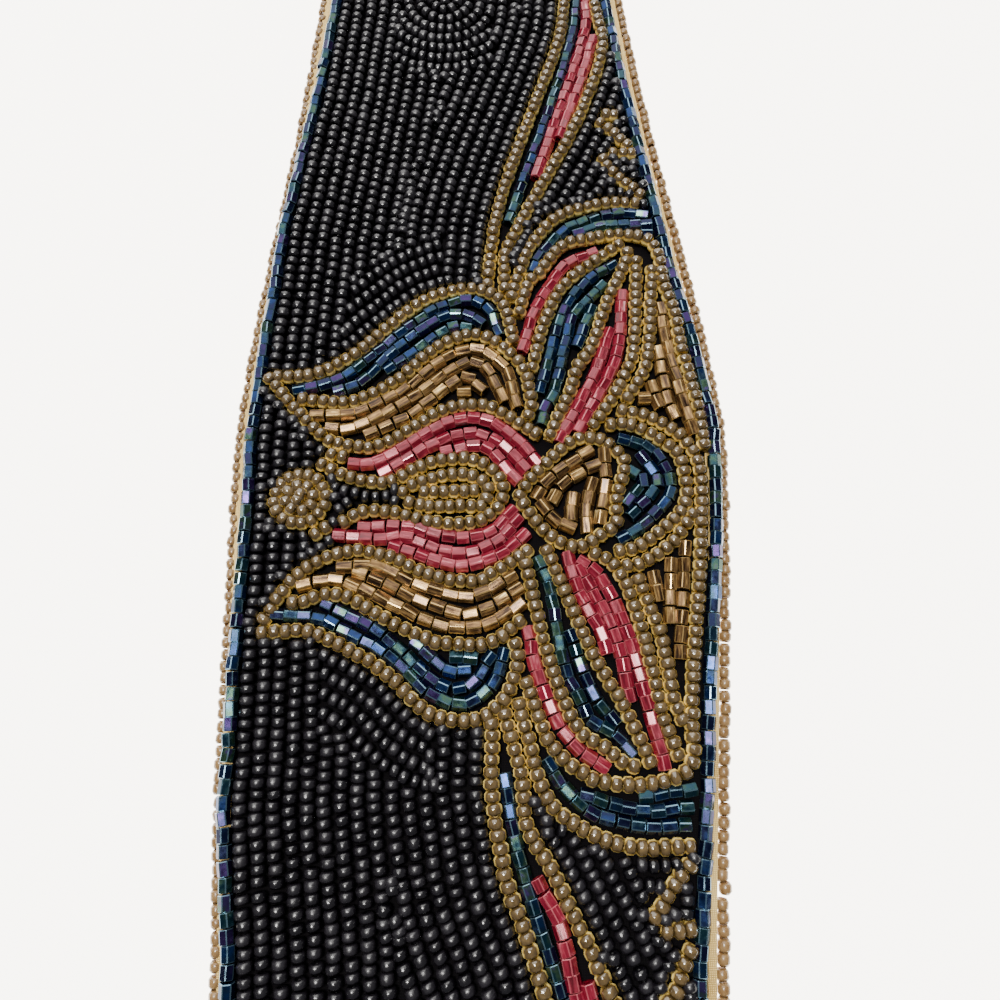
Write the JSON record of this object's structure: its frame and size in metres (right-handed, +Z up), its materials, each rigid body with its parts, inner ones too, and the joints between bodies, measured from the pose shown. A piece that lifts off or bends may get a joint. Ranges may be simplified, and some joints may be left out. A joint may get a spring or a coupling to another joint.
{
  "type": "beaded belt",
  "caption": "Flat cloth waist belt, wide at the front, sewn all over with black seed beads and a flower of blue, pink, bronze and gold glass beads, with a hook and eye.",
  "frame": {"origin": "bottom centre of the bounding box: on the cloth's underside, at the belt's widest place", "axes": "+X across the belt, towards the edge with the scroll; +Y along the belt, towards the hook; +Z up, out of the beaded face"},
  "size_m": [0.0696, 0.772, 0.0053],
  "materials": {
    "backing_cloth": "satin weave, gold",
    "black_beads": "opaque, glossy",
    "gold_beads": "gold-lined, glossy",
    "blue_tubes": "iris-coated, six-sided, metallic",
    "pink_tubes": "lined, glossy, streaked",
    "bronze_tubes": "metallic, glossy, streaked",
    "champagne_beads": "translucent, lined",
    "clasp_metal": "plain, dull"
  },
  "bodies": {
    "root": {"black_ground_low": "black_beads", "black_ground_top": "black_beads", "blue_leaf_low_rows": "blue_tubes", "blue_leaf_low_string": "gold_beads", "blue_leaf_top_rows": "blue_tubes", "blue_leaf_top_string": "gold_beads", "bronze_leaf_low_rows": "bronze_tubes", "bronze_leaf_low_string": "gold_beads", "bronze_leaf_top_rows": "bronze_tubes", "bronze_leaf_top_string": "gold_beads", "bronze_patch_low_rows": "bronze_tubes", "bronze_patch_top_rows": "bronze_tubes", "button": "gold_beads", "clasp_eye": "clasp_metal", "clasp_hook": "clasp_metal", "cloth_backing": "backing_cloth", "core_rows": "gold_beads", "core_string": "gold_beads", "crescent_rows": "blue_tubes", "edge_beads_left": "champagne_beads", "edge_beads_right": "champagne_beads", "edge_tubes_left": "blue_tubes", "edge_tubes_right": "blue_tubes", "heart_rows": "bronze_tubes", "heart_string": "gold_beads", "low_arc_outer_string": "gold_beads", "low_arc_rows": "blue_tubes", "low_stem_blue_rows": "blue_tubes", "low_stem_left_string": "gold_beads", "low_stem_pink_rows": "pink_tubes", "low_stem_right_string": "gold_beads", "pink_petal_low_rows": "pink_tubes", "pink_petal_low_string": "gold_beads", "pink_petal_top_rows": "pink_tubes", "pink_petal_top_string": "gold_beads", "pink_stroke_low_rows": "pink_tubes", "pink_stroke_top_rows": "pink_tubes", "plume_1_string": "gold_beads", "plume_2_string": "gold_beads", "plume_3_string": "gold_beads", "plume_4_string": "gold_beads", "plume_5_string": "gold_beads", "plume_6_string": "gold_beads", "plume_7_string": "gold_beads", "plume_8_string": "gold_beads", "plume_blue_low_rows": "blue_tubes", "plume_blue_top_rows": "blue_tubes", "plume_pink_low_rows": "pink_tubes", "plume_pink_top_rows": "pink_tubes", "scroll_inner_string": "gold_beads", "scroll_lower_string": "gold_beads", "scroll_outer_string": "gold_beads", "top_arc_inner_string": "gold_beads", "top_arc_outer_string": "gold_beads", "top_arc_rows": "blue_tubes", "top_stem_blue_rows": "blue_tubes", "top_stem_left_string": "gold_beads", "top_stem_pink_rows": "pink_tubes", "top_stem_right_string": "gold_beads"}
  },
  "joints": []
}
